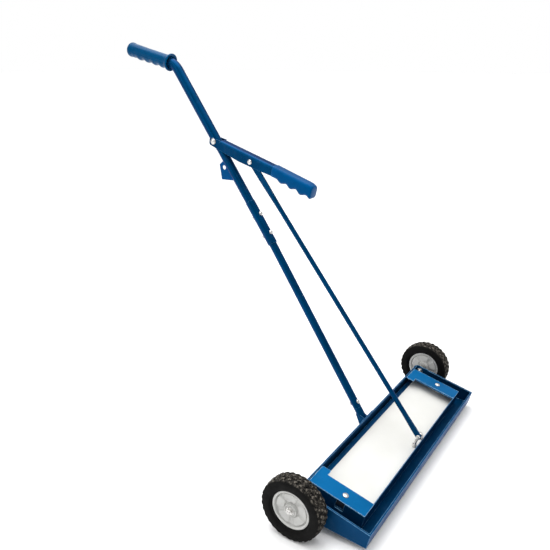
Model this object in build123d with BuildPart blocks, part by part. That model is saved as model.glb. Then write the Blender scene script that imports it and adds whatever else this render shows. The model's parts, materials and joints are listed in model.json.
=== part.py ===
from build123d import *
import math
import os

os.makedirs("parts", exist_ok=True)

# All sizes in mm and degrees. The tray frame has its origin on the axle line, y to the rear and
# z square to the top plates; it leans down to the front by TILT when the sweeper rests.
TILT = 13.5
WHEEL_R = 82.5
AXLE_Y = -352.9

# Sheet metal tray and housing
SHEET = 2.0
TRAY_HALF = 388.0
TRAY_FRONT = -182.6
TRAY_RIM = 14.2
TRAY_LOW = -27.6
TRAY_SLOPE = 9.3
TRAY_LEVEL = -52.0
TRAY_EAR = 24.0
TRAY_LIP = 5.0
HOUSE_HALF = 349.0
HOUSE_FRONT = -147.4
HOUSE_REAR = 17.4
HOUSE_TOP = 17.3
HOUSE_BEND = 2.0
PLATE_INNER = 297.0
PLATE_REAR = 11.5
PLATE_LIP = 5.0
TAB_INNER = 279.0
TAB_FRONT = -14.0
DOME_X = 325.0
DOME_Y = -81.0
NOTCH_WIDE = 23.0
NOTCH_LOW = -9.9

# Domed bolt of each end plate
DOME_R = 8.0
DOME_HIGH = 4.0
DOME_ROUND = 3.6
SMALL_R = 3.0
SMALL_NUT = 5.0
THREAD_PROUD = 1.5

# Axles and wheels, along x
AXLE_R = 6.0
AXLE_HEX = 19.0
AXLE_HEAD_IN = 449.5
AXLE_NUT_IN = 376.5
AXLE_TAIL = 374.0
WASHER_R = 14.0
CAP_IN = 448.0
CAP_R = 11.0
SPACER_R = 9.5
BUSH_R = 10.0
BOSS_R = 17.0
RIM_WALL = 5.5
WEB_IN = 434.0
WEB_THICK = 5.0
SPOKES = 5
TREAD_NOTCHES = 24
HUB_IN = 412.4
HUB_OUT = 447.6
RIM_IN = 414.6
RIM_OUT = 446.4
TYRE_IN = 407.0
TYRE_OUT = 454.0
HUB_R = 51.0
AXLE_END = 458.0
END_PLAY = 0.4

# Magnet carrier, hinged at the rear
HINGE_Y = 2.0
HINGE_Z = -28.0
PIN_R = 4.0
PIN_HEAD_R = 7.5
PIN_HEAD = 4.0
PIN_END = 334.0
COLLAR_R = 7.0
CLIP_R = 5.5
CLIP_THICK = 2.6
RUN = 0.05
CARRIER_TOP = -12.0
COVER = 1.0
COVER_HALF = 335.0
COVER_FRONT = -144.0
COVER_REAR = -3.7
PAN_HALF = 340.0
PAN_FRONT = -141.0
PAN_REAR = 10.0
PAN_LOW = -40.0
BACKING = 3.0
MAGNET_LOW = -43.0
MAGNET_WIDE = 68.0
MAGNET_PITCH = 80.0
MAGNET_FRONT = -126.0
MAGNET_REAR = -14.0

# Handle line: lower tube at LOW_LEAN, everything above the joint at HIGH_LEAN
LOW_LEAN = 47.0
HIGH_LEAN = 48.5
FOOT_Y = 49.2
FOOT_Z = 17.3
JOINT_S = 564.7
LOW_R = 11.7
MID_R = 13.2
HIGH_R = 15.0
WALL = 1.2
SLEEVE_R = 14.3
SLEEVE_FROM = -12.0
SLEEVE_TO = 130.0
BOLT_S = 24.5
LOWER_BOLT_S = 20.4
UPPER_BOLT_S = 83.3
TUBE_SPLIT_S = 50.0
LEVER_S = 338.0
SWAGE_R = 13.75
GRIP_Z = 801.9
BEND_R = 60.0
GRIP_FROM = 928.0
GRIP_TO = 1100.0

# Release lever
CHEEK_IN = 15.3
CHEEK_OUT = 16.8
LEVER_LEAN = 86.0
LEVER_FRONT = 470.0
LEVER_TOP = 620.2
LEVER_BEND = 9.0
WEB_LENGTH = 223.0
BOLT_R = 4.0

# Connecting rod: a tube flattened at both ends, from the lever down to the eye bolt
ROD_R = 7.0
ROD_X = -8.0
ROD_Y = 575.5
ROD_Z = 608.7
BLADE = 5.0
BLADE_TOP = 9.0
BLADE_FOOT = 8.0
BLADE_GAP = 0.5
EYE_PIN_X = 12.0
EYE_PIN_Y = -135.8
EYE_PIN_Z = 30.0

# Eye bolt; its pin rests against the upper rear of the eye
EYE_R = 11.5
EYE_BORE = 7.0
EYE_HALF = 3.3
EYE_SLACK = 2.2
EYE_X = EYE_PIN_X + BLADE / 2 + BLADE_GAP + EYE_HALF
SHANK_Y = -132.6
SHANK_R = 4.0
SHANK_TOP = 8.0
SHANK_LOW = -26.0
WASHER_THICK = 1.6

# Hardware
HEAD = 4.5
HEAD_R = 7.5
HEX_LARGE = 13.0
HEX_TUBE = 11.0
HEX_SMALL = 10.0
NUT_LARGE = 6.0

SIN = math.sin(math.radians(TILT))
COS = math.cos(math.radians(TILT))


def at(x, y, z):
    """A point of the tray frame in the part's own frame."""
    return Vector(x, AXLE_Y + y * COS - z * SIN, WHEEL_R + y * SIN + z * COS)


def side(x, y=0.0, z=0.0):
    """Plane across the width: local x to the rear, local y up, normal +X."""
    return Plane(origin=at(x, y, z), x_dir=(0, COS, SIN), z_dir=(1, 0, 0))


def top(z, x=0.0, y=0.0):
    """Plane parallel to the top plates, normal up."""
    return Plane(origin=at(x, y, z), x_dir=(1, 0, 0), z_dir=(0, -SIN, COS))


def square_to(y, z, lean):
    """Plane square to a line that leans back by lean degrees."""
    angle = math.radians(lean - TILT)
    return Plane(origin=at(0, y, z), x_dir=(1, 0, 0), z_dir=(0, math.sin(angle), math.cos(angle)))


def facing(y, z, lean):
    """Plane along such a line, normal forward and up."""
    angle = math.radians(lean - TILT)
    return Plane(origin=at(0, y, z), x_dir=(1, 0, 0), z_dir=(0, -math.cos(angle), math.sin(angle)))


def polygon(plane, points):
    with BuildSketch(plane) as face:
        with BuildLine():
            Polyline(*points, close=True)
        make_face()
    return face.sketch


def disc(plane, radius, bore=0.0):
    with BuildSketch(plane) as face:
        Circle(radius)
        if bore > 0:
            Circle(bore, mode=Mode.SUBTRACT)
    return face.sketch


def hexagon(plane, across, bore=0.0):
    with BuildSketch(plane) as face:
        RegularPolygon(across / 2, 6, major_radius=False)
        if bore > 0:
            Circle(bore, mode=Mode.SUBTRACT)
    return face.sketch


def slab(plane, x0, x1, y0, y1):
    return polygon(plane, [(x0, y0), (x1, y0), (x1, y1), (x0, y1)])


def along(y, z, lean, distance):
    """The tray point at a distance up a leaning line."""
    angle = math.radians(lean)
    return (y + distance * math.sin(angle), z + distance * math.cos(angle))


def tray_floor(y):
    return TRAY_LOW - (y - TRAY_FRONT) * math.tan(math.radians(TRAY_SLOPE))


JOINT = along(FOOT_Y, FOOT_Z, LOW_LEAN, JOINT_S)
PIVOT = along(JOINT[0], JOINT[1], HIGH_LEAN, LEVER_S)
BEND_Y = PIVOT[0] + (GRIP_Z - PIVOT[1]) * math.tan(math.radians(HIGH_LEAN))
ROD_LEAN = math.degrees(math.atan2(ROD_Y - EYE_PIN_Y, ROD_Z - EYE_PIN_Z))
EYE = along(EYE_PIN_Y, EYE_PIN_Z, ROD_LEAN, -EYE_SLACK)

# The housing's bent front edge just meets the floor at rest.
BEND_CENTRE = (HOUSE_BEND - WHEEL_R - (HOUSE_FRONT + HOUSE_BEND) * SIN) / COS
HOUSE_LOW = BEND_CENTRE - HOUSE_BEND
LEVEL_Z = tray_floor(TRAY_LEVEL)


def end_wall_face(x):
    """Tapered end wall of the tray with its rounded axle ear."""
    with BuildSketch(side(x)) as face:
        with BuildLine():
            Polyline(
                (TRAY_FRONT, TRAY_RIM),
                (TRAY_EAR, TRAY_RIM),
                (TRAY_EAR, -30.0),
                (8.0, LEVEL_Z),
                (TRAY_LEVEL, LEVEL_Z),
                (TRAY_FRONT, TRAY_LOW),
                close=True,
            )
        make_face()
        fillet([v for v in face.vertices() if v.X > 20 and v.Y > 0], 16.5)
        fillet([v for v in face.vertices() if v.X > 20 and v.Y < -25], 12.0)
    return face.sketch


FLOOR_TOP = SHEET / math.cos(math.radians(TRAY_SLOPE))

with BuildPart() as outer_tray:
    front_section = [
        (TRAY_FRONT, TRAY_RIM),
        (TRAY_FRONT + TRAY_LIP, TRAY_RIM),
        (TRAY_FRONT + TRAY_LIP, TRAY_RIM - SHEET),
        (TRAY_FRONT + SHEET, TRAY_RIM - SHEET),
        (TRAY_FRONT + SHEET, tray_floor(TRAY_FRONT + SHEET) + FLOOR_TOP),
        (HOUSE_FRONT, tray_floor(HOUSE_FRONT) + FLOOR_TOP),
        (HOUSE_FRONT, tray_floor(HOUSE_FRONT)),
        (TRAY_FRONT, TRAY_LOW),
    ]
    extrude(polygon(side(-TRAY_HALF + SHEET), front_section), amount=2 * (TRAY_HALF - SHEET))
    end_floor = [
        (HOUSE_FRONT, tray_floor(HOUSE_FRONT) + FLOOR_TOP),
        (TRAY_LEVEL, LEVEL_Z + FLOOR_TOP),
        (HOUSE_REAR, LEVEL_Z + FLOOR_TOP),
        (HOUSE_REAR, LEVEL_Z),
        (TRAY_LEVEL, LEVEL_Z),
        (HOUSE_FRONT, tray_floor(HOUSE_FRONT)),
    ]
    rear_tie = [
        (HOUSE_REAR - SHEET, TRAY_RIM - 6.0),
        (HOUSE_REAR, TRAY_RIM - 6.0),
        (HOUSE_REAR, LEVEL_Z),
        (HOUSE_REAR - SHEET, LEVEL_Z),
    ]
    for start in (HOUSE_HALF, -TRAY_HALF + SHEET):
        extrude(polygon(side(start), end_floor), amount=TRAY_HALF - SHEET - HOUSE_HALF)
        extrude(polygon(side(start), rear_tie), amount=TRAY_HALF - SHEET - HOUSE_HALF)
    for start in (TRAY_HALF - SHEET, -TRAY_HALF):
        extrude(end_wall_face(start), amount=SHEET)
    rim_lip = slab(top(TRAY_RIM - SHEET), TRAY_HALF - TRAY_LIP, TRAY_HALF - SHEET, TRAY_FRONT + SHEET, -30.0)
    extrude(rim_lip, amount=SHEET)
    lip_in = -TRAY_HALF + SHEET
    rim_lip = slab(top(TRAY_RIM - SHEET), lip_in, -TRAY_HALF + TRAY_LIP, TRAY_FRONT + SHEET, -30.0)
    extrude(rim_lip, amount=SHEET)
    extrude(disc(side(-TRAY_HALF - 1), AXLE_R + RUN), amount=2 * TRAY_HALF + 2, mode=Mode.SUBTRACT)

with BuildPart() as housing:
    section = [
        (HOUSE_FRONT, HOUSE_TOP),
        (HOUSE_FRONT, HOUSE_LOW),
        (HOUSE_REAR, HOUSE_LOW),
        (HOUSE_REAR, HOUSE_TOP),
        (HOUSE_REAR - 4.0, HOUSE_TOP),
        (HOUSE_REAR - 4.0, HOUSE_TOP - SHEET),
        (HOUSE_REAR - SHEET, HOUSE_TOP - SHEET),
        (HOUSE_REAR - SHEET, HOUSE_LOW + SHEET),
        (HOUSE_FRONT + SHEET, HOUSE_LOW + SHEET),
        (HOUSE_FRONT + SHEET, HOUSE_TOP),
    ]
    with BuildSketch(side(-HOUSE_HALF)) as shell_face:
        with BuildLine():
            Polyline(*section, close=True)
        make_face()
        fillet([v for v in shell_face.vertices() if v.Y < HOUSE_LOW + 0.1], HOUSE_BEND)
    extrude(amount=2 * HOUSE_HALF)
    end_face = [
        (HOUSE_FRONT + SHEET, HOUSE_TOP - SHEET),
        (HOUSE_FRONT + SHEET, HOUSE_LOW + SHEET),
        (HOUSE_REAR - SHEET, HOUSE_LOW + SHEET),
        (HOUSE_REAR - SHEET, HOUSE_TOP - SHEET),
        (DOME_Y + NOTCH_WIDE / 2, HOUSE_TOP - SHEET),
        (DOME_Y + NOTCH_WIDE / 2, NOTCH_LOW),
        (DOME_Y - NOTCH_WIDE / 2, NOTCH_LOW),
        (DOME_Y - NOTCH_WIDE / 2, HOUSE_TOP - SHEET),
    ]
    for start in (HOUSE_HALF - SHEET, -HOUSE_HALF):
        extrude(polygon(side(start), end_face), amount=SHEET)
    for x0, x1 in ((PLATE_INNER, HOUSE_HALF), (-HOUSE_HALF, -PLATE_INNER)):
        seat = slab(top(HOUSE_TOP - SHEET), x0, x1, HOUSE_FRONT - 1, PLATE_REAR)
        extrude(seat, amount=SHEET + 1, mode=Mode.SUBTRACT)
    pin_hole = disc(side(-HOUSE_HALF - 1, HINGE_Y, HINGE_Z), PIN_R + RUN)
    extrude(pin_hole, amount=2 * HOUSE_HALF + 2, mode=Mode.SUBTRACT)

with BuildPart() as end_plate_right:
    with BuildSketch(top(HOUSE_TOP - SHEET)) as plate_face:
        with BuildLine():
            Polyline(
                (HOUSE_HALF, HOUSE_FRONT),
                (HOUSE_HALF, PLATE_REAR),
                (TAB_INNER, PLATE_REAR),
                (TAB_INNER, TAB_FRONT),
                (PLATE_INNER, TAB_FRONT),
                (PLATE_INNER, HOUSE_FRONT),
                close=True,
            )
        make_face()
        fillet([v for v in plate_face.vertices() if v.X < TAB_INNER + 1], 3.0)
        fillet([v for v in plate_face.vertices() if v.X > HOUSE_HALF - 1], 2.0)
    extrude(amount=SHEET)
    lip_low = HOUSE_TOP - PLATE_LIP
    lip = slab(top(lip_low), PLATE_INNER, PLATE_INNER + SHEET, HOUSE_FRONT + SHEET, TAB_FRONT)
    extrude(lip, amount=PLATE_LIP - SHEET)
    bolt_hole = disc(top(HOUSE_TOP - 2 * SHEET, DOME_X, DOME_Y), SMALL_R + RUN)
    extrude(bolt_hole, amount=3 * SHEET, mode=Mode.SUBTRACT)

with BuildPart() as end_plate_left:
    add(mirror(end_plate_right.part, about=Plane.YZ, mode=Mode.PRIVATE))

with BuildPart() as plate_bolts:
    extrude(disc(top(HOUSE_TOP, DOME_X, DOME_Y), DOME_R), amount=DOME_HIGH)
    fillet(plate_bolts.faces().sort_by(Axis.Z)[-1].edges(), DOME_ROUND)
    extrude(disc(top(HOUSE_TOP, DOME_X, DOME_Y), SMALL_R), amount=-SHEET - SMALL_NUT - 2.0)
    mirror(about=Plane.YZ)

with BuildPart() as plate_nuts:
    under_plate = top(HOUSE_TOP - SHEET, DOME_X, DOME_Y)
    extrude(hexagon(under_plate, HEX_SMALL, SMALL_R + RUN), amount=-SMALL_NUT)
    mirror(about=Plane.YZ)

# Axle hardware, built on the right and mirrored
with BuildPart() as axle_bolts:
    extrude(hexagon(side(AXLE_HEAD_IN), AXLE_HEX), amount=AXLE_END - AXLE_HEAD_IN)
    extrude(disc(side(AXLE_TAIL), AXLE_R), amount=AXLE_HEAD_IN - AXLE_TAIL)
    mirror(about=Plane.YZ)

with BuildPart() as axle_nuts:
    extrude(hexagon(side(AXLE_NUT_IN), AXLE_HEX, AXLE_R + RUN), amount=TRAY_HALF - SHEET - AXLE_NUT_IN)
    mirror(about=Plane.YZ)

with BuildPart() as axle_washers:
    extrude(disc(side(TRAY_HALF), WASHER_R, AXLE_R + RUN), amount=SHEET)
    extrude(disc(side(CAP_IN), CAP_R, AXLE_R + RUN), amount=AXLE_HEAD_IN - CAP_IN)
    mirror(about=Plane.YZ)

with BuildPart() as axle_spacers:
    spacer_in = TRAY_HALF + SHEET
    extrude(disc(side(spacer_in), SPACER_R, AXLE_R + RUN), amount=HUB_IN - END_PLAY - spacer_in)
    mirror(about=Plane.YZ)

# Wheels
with BuildPart() as hub_bush_right:
    extrude(disc(side(HUB_IN), BUSH_R, AXLE_R + RUN), amount=HUB_OUT - HUB_IN)

with BuildPart() as hub_bush_left:
    add(mirror(hub_bush_right.part, about=Plane.YZ, mode=Mode.PRIVATE))

with BuildPart() as wheel_hub_right:
    extrude(disc(side(HUB_IN), BOSS_R, BUSH_R), amount=HUB_OUT - HUB_IN)
    extrude(disc(side(RIM_IN), HUB_R, HUB_R - RIM_WALL), amount=RIM_OUT - RIM_IN)
    extrude(disc(side(WEB_IN), HUB_R - SHEET, BUSH_R + SHEET), amount=WEB_THICK)
    spoke_long = HUB_R - BOSS_R - SHEET
    with BuildSketch(side(RIM_IN + SHEET)):
        with PolarLocations(BOSS_R - 2.0 + spoke_long / 2, SPOKES):
            Rectangle(spoke_long, 10.0)
    extrude(amount=RIM_OUT - RIM_IN - 2 * SHEET - 0.5)

with BuildPart() as wheel_hub_left:
    add(mirror(wheel_hub_right.part, about=Plane.YZ, mode=Mode.PRIVATE))

with BuildPart() as tyre_right:
    middle = (TYRE_IN + TYRE_OUT) / 2
    half = (TYRE_OUT - TYRE_IN) / 2
    bead = (RIM_OUT - RIM_IN) / 2
    with BuildSketch(Plane(origin=at(middle, 0, 0), x_dir=(1, 0, 0), z_dir=(0, -COS, -SIN))):
        with BuildLine():
            Polyline((bead, HUB_R), (-bead, HUB_R), (-bead - 2.5, HUB_R + 3.0))
            Spline((-bead - 2.5, HUB_R + 3.0), (-half, 66.0), (-half + 2.5, 77.0))
            Polyline((-half + 2.5, 77.0), (-half + 6.0, 81.2), (-8.0, WHEEL_R), (8.0, WHEEL_R))
            Polyline((8.0, WHEEL_R), (half - 6.0, 81.2), (half - 2.5, 77.0))
            Spline((half - 2.5, 77.0), (half, 66.0), (bead + 2.5, HUB_R + 3.0))
            Line((bead + 2.5, HUB_R + 3.0), (bead, HUB_R))
        make_face()
    revolve(axis=Axis(at(0, 0, 0), (1, 0, 0)), revolution_arc=360)
    for edge, turn in ((TYRE_IN - 1.0, 0.0), (TYRE_OUT - 14.0, 7.5)):
        with BuildSketch(side(edge)):
            with PolarLocations(WHEEL_R - 0.5, TREAD_NOTCHES, start_angle=turn):
                Rectangle(6.0, 4.5)
        extrude(amount=15.0, mode=Mode.SUBTRACT)

with BuildPart() as tyre_left:
    add(mirror(tyre_right.part, about=Plane.YZ, mode=Mode.PRIVATE))

# Magnet carrier
with BuildPart() as carrier_pan:
    top_z = CARRIER_TOP - COVER
    pan_section = [
        (PAN_FRONT, top_z),
        (PAN_FRONT, PAN_LOW),
        (PAN_FRONT + SHEET, PAN_LOW),
        (PAN_FRONT + SHEET, top_z - SHEET),
        (PAN_REAR - SHEET, top_z - SHEET),
        (PAN_REAR - SHEET, PAN_LOW),
        (PAN_REAR, PAN_LOW),
        (PAN_REAR, top_z),
    ]
    extrude(polygon(side(-PAN_HALF), pan_section), amount=2 * PAN_HALF)
    for start in (PAN_HALF - SHEET, -PAN_HALF):
        cheek = slab(side(start), PAN_FRONT, PAN_REAR, PAN_LOW, top_z)
        extrude(cheek, amount=SHEET)
    pin_hole = disc(side(-PAN_HALF - 1, HINGE_Y, HINGE_Z), PIN_R + RUN)
    extrude(pin_hole, amount=2 * PAN_HALF + 2, mode=Mode.SUBTRACT)
    extrude(disc(top(top_z - 3 * SHEET, EYE_X, SHANK_Y), SHANK_R + RUN), amount=4 * SHEET, mode=Mode.SUBTRACT)

with BuildPart() as cover_plate:
    extrude(slab(top(CARRIER_TOP), -COVER_HALF, COVER_HALF, COVER_FRONT, COVER_REAR), amount=-COVER)
    extrude(disc(top(CARRIER_TOP + 1, EYE_X, SHANK_Y), SHANK_R + RUN), amount=-3.0, mode=Mode.SUBTRACT)

with BuildPart() as backing_plate:
    under_pan = CARRIER_TOP - COVER - SHEET
    extrude(slab(top(under_pan), -318.0, 318.0, PAN_FRONT + SHEET + 1.0, -10.0), amount=-BACKING)
    extrude(disc(top(under_pan + 1, EYE_X, SHANK_Y), SHANK_R + RUN), amount=-6.0, mode=Mode.SUBTRACT)

with BuildPart() as magnets:
    magnet_top = CARRIER_TOP - COVER - SHEET - BACKING
    with BuildSketch(top(magnet_top, 0, (MAGNET_FRONT + MAGNET_REAR) / 2)):
        with GridLocations(MAGNET_PITCH, 0, 8, 1):
            Rectangle(MAGNET_WIDE, MAGNET_REAR - MAGNET_FRONT)
    extrude(amount=MAGNET_LOW - magnet_top)

with BuildPart() as hinge_pins:
    extrude(disc(side(HOUSE_HALF, HINGE_Y, HINGE_Z), PIN_HEAD_R), amount=PIN_HEAD)
    extrude(disc(side(HOUSE_HALF, HINGE_Y, HINGE_Z), PIN_R), amount=PIN_END - HOUSE_HALF)
    mirror(about=Plane.YZ)

with BuildPart() as hinge_collars:
    bore = PIN_R + RUN
    outer_in = PAN_HALF + END_PLAY
    extrude(disc(side(outer_in, HINGE_Y, HINGE_Z), COLLAR_R, bore), amount=HOUSE_HALF - SHEET - outer_in)
    extrude(disc(side(PIN_END + 1.0, HINGE_Y, HINGE_Z), CLIP_R, bore), amount=CLIP_THICK)
    mirror(about=Plane.YZ)

with BuildPart() as rest_pads:
    with BuildSketch(top(HOUSE_LOW + SHEET, 0, MAGNET_FRONT + 20.0)):
        with GridLocations(MAGNET_PITCH * 5, 0, 2, 1):
            Circle(8.0)
    extrude(amount=MAGNET_LOW - 0.3 - HOUSE_LOW - SHEET)

# Eye bolt at the front of the plate
with BuildPart() as eye_bolt:
    extrude(disc(side(EYE_X - EYE_HALF, *EYE), EYE_R), amount=2 * EYE_HALF)
    neck = [
        (EYE[0] - SHANK_R, EYE[1] - EYE_BORE),
        (SHANK_Y - SHANK_R, SHANK_TOP + 2.0),
        (SHANK_Y - SHANK_R, SHANK_TOP - 2.0),
        (SHANK_Y + SHANK_R, SHANK_TOP - 2.0),
        (SHANK_Y + SHANK_R, SHANK_TOP + 2.0),
        (EYE[0] + EYE_BORE, EYE[1] - EYE_BORE),
    ]
    extrude(polygon(side(EYE_X - EYE_HALF), neck), amount=2 * EYE_HALF)
    extrude(disc(top(SHANK_TOP, EYE_X, SHANK_Y), SHANK_R), amount=SHANK_LOW - SHANK_TOP)
    extrude(disc(side(EYE_X - 2 * EYE_HALF, *EYE), EYE_BORE), amount=4 * EYE_HALF, mode=Mode.SUBTRACT)

with BuildPart() as eye_nuts:
    on_washer = top(CARRIER_TOP + WASHER_THICK, EYE_X, SHANK_Y)
    extrude(hexagon(on_washer, HEX_LARGE, SHANK_R + RUN), amount=NUT_LARGE)
    under_backing = top(CARRIER_TOP - COVER - SHEET - BACKING, EYE_X, SHANK_Y)
    extrude(hexagon(under_backing, HEX_SMALL, SHANK_R + RUN), amount=-NUT_LARGE)

with BuildPart() as eye_washer:
    extrude(disc(top(CARRIER_TOP, EYE_X, SHANK_Y), 8.0, SHANK_R + RUN), amount=WASHER_THICK)

# Handle socket behind the rear wall
SPIGOT_TO = 70.0
TUBE_FROM = 8.0
with BuildPart() as handle_socket:
    foot = square_to(*along(FOOT_Y, FOOT_Z, LOW_LEAN, -60.0), LOW_LEAN)
    extrude(disc(foot, LOW_R), amount=60.0 + TUBE_FROM)
    wall_side = slab(side(-60.0), HOUSE_REAR - 120.0, HOUSE_REAR, -120.0, 60.0)
    extrude(wall_side, amount=120.0, mode=Mode.SUBTRACT)
    extrude(disc(square_to(FOOT_Y, FOOT_Z, LOW_LEAN), LOW_R - WALL - RUN), amount=SPIGOT_TO)
    extrude(disc(square_to(FOOT_Y, FOOT_Z, LOW_LEAN), 6.0), amount=SPIGOT_TO, mode=Mode.SUBTRACT)
    extrude(slab(side(-35.0), HOUSE_REAR, HOUSE_REAR + 3.0, -34.0, 14.0), amount=70.0)
    gusset = [
        (HOUSE_REAR + 3.0, -34.0),
        (HOUSE_REAR + 3.0, 6.0),
        (FOOT_Y - 6.0, FOOT_Z - 4.0),
        (FOOT_Y + 2.0, FOOT_Z - 10.0),
    ]
    for start in (-11.0, 8.0):
        extrude(polygon(side(start), gusset), amount=3.0)
    bolt_at = along(FOOT_Y, FOOT_Z, LOW_LEAN, BOLT_S)
    extrude(disc(facing(*bolt_at, LOW_LEAN), SMALL_R + RUN), amount=20.0, both=True, mode=Mode.SUBTRACT)

# Tubes of the handle
with BuildPart() as handle_lower_tube:
    start = along(FOOT_Y, FOOT_Z, LOW_LEAN, TUBE_FROM)
    end = along(JOINT[0], JOINT[1], HIGH_LEAN, TUBE_SPLIT_S - 2.0)
    for radius, mode in ((LOW_R, Mode.ADD), (LOW_R - WALL, Mode.SUBTRACT)):
        with BuildLine() as lower_path:
            Polyline(at(0, *start), at(0, *JOINT), at(0, *end))
        section = disc(square_to(*start, LOW_LEAN), radius)
        sweep(section, path=lower_path.wire(), transition=Transition.RIGHT, mode=mode)
    for bolt_at, tilt in (
        (along(FOOT_Y, FOOT_Z, LOW_LEAN, BOLT_S), LOW_LEAN),
        (along(JOINT[0], JOINT[1], HIGH_LEAN, LOWER_BOLT_S), HIGH_LEAN),
    ):
        extrude(disc(facing(*bolt_at, tilt), SMALL_R + RUN), amount=20.0, both=True, mode=Mode.SUBTRACT)

with BuildPart() as handle_sleeve:
    low = along(JOINT[0], JOINT[1], HIGH_LEAN, SLEEVE_FROM)
    split = along(JOINT[0], JOINT[1], HIGH_LEAN, TUBE_SPLIT_S)
    extrude(disc(square_to(*low, HIGH_LEAN), SLEEVE_R), amount=SLEEVE_TO - SLEEVE_FROM)
    extrude(disc(square_to(*low, HIGH_LEAN), LOW_R + 0.45), amount=80.0, mode=Mode.SUBTRACT)
    extrude(disc(square_to(*split, HIGH_LEAN), MID_R + RUN), amount=100.0, mode=Mode.SUBTRACT)
    for distance in (LOWER_BOLT_S, UPPER_BOLT_S):
        bolt_at = along(JOINT[0], JOINT[1], HIGH_LEAN, distance)
        extrude(disc(facing(*bolt_at, HIGH_LEAN), SMALL_R + RUN), amount=20.0, both=True, mode=Mode.SUBTRACT)

with BuildPart() as handle_mid_tube:
    tube_from = TUBE_SPLIT_S + 0.5
    foot = square_to(*along(JOINT[0], JOINT[1], HIGH_LEAN, tube_from), HIGH_LEAN)
    swage = square_to(*along(PIVOT[0], PIVOT[1], HIGH_LEAN, -24.0), HIGH_LEAN)
    extrude(disc(foot, MID_R), amount=LEVER_S - tube_from - 20.0)
    extrude(disc(swage, SWAGE_R), amount=84.0)
    extrude(disc(foot, MID_R - WALL), amount=LEVER_S + 50.0, mode=Mode.SUBTRACT)
    upper_bolt = facing(*along(JOINT[0], JOINT[1], HIGH_LEAN, UPPER_BOLT_S), HIGH_LEAN)
    extrude(disc(upper_bolt, SMALL_R + RUN), amount=20.0, both=True, mode=Mode.SUBTRACT)
    extrude(disc(side(-30.0, *PIVOT), BOLT_R + RUN), amount=60.0, mode=Mode.SUBTRACT)

with BuildPart() as handle_upper_tube:
    start = along(PIVOT[0], PIVOT[1], HIGH_LEAN, -16.0)
    for radius, mode in ((HIGH_R, Mode.ADD), (HIGH_R - WALL, Mode.SUBTRACT)):
        with BuildLine() as bend_path:
            FilletPolyline(at(0, *start), at(0, BEND_Y, GRIP_Z), at(0, GRIP_TO - 6.0, GRIP_Z), radius=BEND_R)
        section = disc(square_to(*start, HIGH_LEAN), radius)
        sweep(section, path=bend_path.wire(), mode=mode)
    extrude(disc(side(-30.0, *PIVOT), BOLT_R + RUN), amount=60.0, mode=Mode.SUBTRACT)

HOLE_Y = 672.4
HOLE_Z = 557.7
TAB_HALF = 1.5
with BuildPart() as hanging_tab:
    tab_face = [
        (676.0, 581.0),
        (681.5, 574.2),
        (690.5, 561.8),
        (673.2, 519.8),
        (632.0, 530.5),
        (622.0, 540.0),
    ]
    extrude(polygon(side(-TAB_HALF), tab_face), amount=2 * TAB_HALF)
    axis_low = square_to(*along(PIVOT[0], PIVOT[1], HIGH_LEAN, -200.0), HIGH_LEAN)
    extrude(disc(axis_low, MID_R), amount=220.0, mode=Mode.SUBTRACT)
    extrude(disc(side(-5.0, HOLE_Y, HOLE_Z), 6.5), amount=10.0, mode=Mode.SUBTRACT)

GRIP_OUTER = [
    (GRIP_FROM, 16.5),
    (GRIP_FROM, 24.5),
    (GRIP_FROM + 3.0, 26.0),
    (GRIP_FROM + 7.0, 26.0),
    (GRIP_FROM + 12.0, 19.8),
    (GRIP_FROM + 80.0, 19.3),
    (GRIP_TO - 30.0, 20.2),
    (GRIP_TO - 14.0, 21.8),
    (GRIP_TO - 4.0, 21.2),
    (GRIP_TO, 18.0),
    (GRIP_TO, 6.0),
    (GRIP_TO - 5.9, 6.0),
    (GRIP_TO - 5.9, HIGH_R + RUN),
    (GRIP_FROM + 8.0, HIGH_R + RUN),
]
with BuildPart() as handle_grip:
    with BuildSketch(side(0.0, 0.0, GRIP_Z)):
        with BuildLine():
            Polyline(*GRIP_OUTER, close=True)
        make_face()
    revolve(axis=Axis(at(0, 0, GRIP_Z), Vector(0, COS, SIN)), revolution_arc=360)
    with BuildSketch(side(-9.0, 0.0, GRIP_Z)):
        with Locations((960.0, -14.0), (991.0, -14.0), (1022.0, -14.0), (1053.0, -14.0)):
            Ellipse(12.0, 9.0)
    extrude(amount=18.0)
    core = Plane(origin=at(0, GRIP_FROM + 8.0, GRIP_Z), x_dir=(1, 0, 0), z_dir=(0, COS, SIN))
    extrude(disc(core, HIGH_R + RUN), amount=GRIP_TO - GRIP_FROM - 13.9, mode=Mode.SUBTRACT)
    entry = along(PIVOT[0], PIVOT[1], HIGH_LEAN, 180.0)
    with BuildLine() as clear_path:
        FilletPolyline(at(0, *entry), at(0, BEND_Y, GRIP_Z), at(0, GRIP_FROM + 60.0, GRIP_Z), radius=BEND_R)
    sweep(disc(square_to(*entry, HIGH_LEAN), HIGH_R + 0.2), path=clear_path.wire(), mode=Mode.SUBTRACT)


BOLT_SEATS = [(along(FOOT_Y, FOOT_Z, LOW_LEAN, BOLT_S), LOW_LEAN, LOW_R)]
for distance in (LOWER_BOLT_S, UPPER_BOLT_S):
    BOLT_SEATS.append((along(JOINT[0], JOINT[1], HIGH_LEAN, distance), HIGH_LEAN, SLEEVE_R))

with BuildPart() as tube_bolts:
    for (y, z), tilt, radius in BOLT_SEATS:
        axis = facing(y, z, tilt)
        extrude(disc(axis.offset(radius), 7.0), amount=HEAD)
        extrude(disc(axis.offset(radius), SMALL_R), amount=-2 * radius - SMALL_NUT - THREAD_PROUD)

with BuildPart() as tube_nuts:
    for (y, z), tilt, radius in BOLT_SEATS:
        axis = facing(y, z, tilt)
        extrude(hexagon(axis.offset(-radius), HEX_TUBE, SMALL_R + RUN), amount=-SMALL_NUT)

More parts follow.
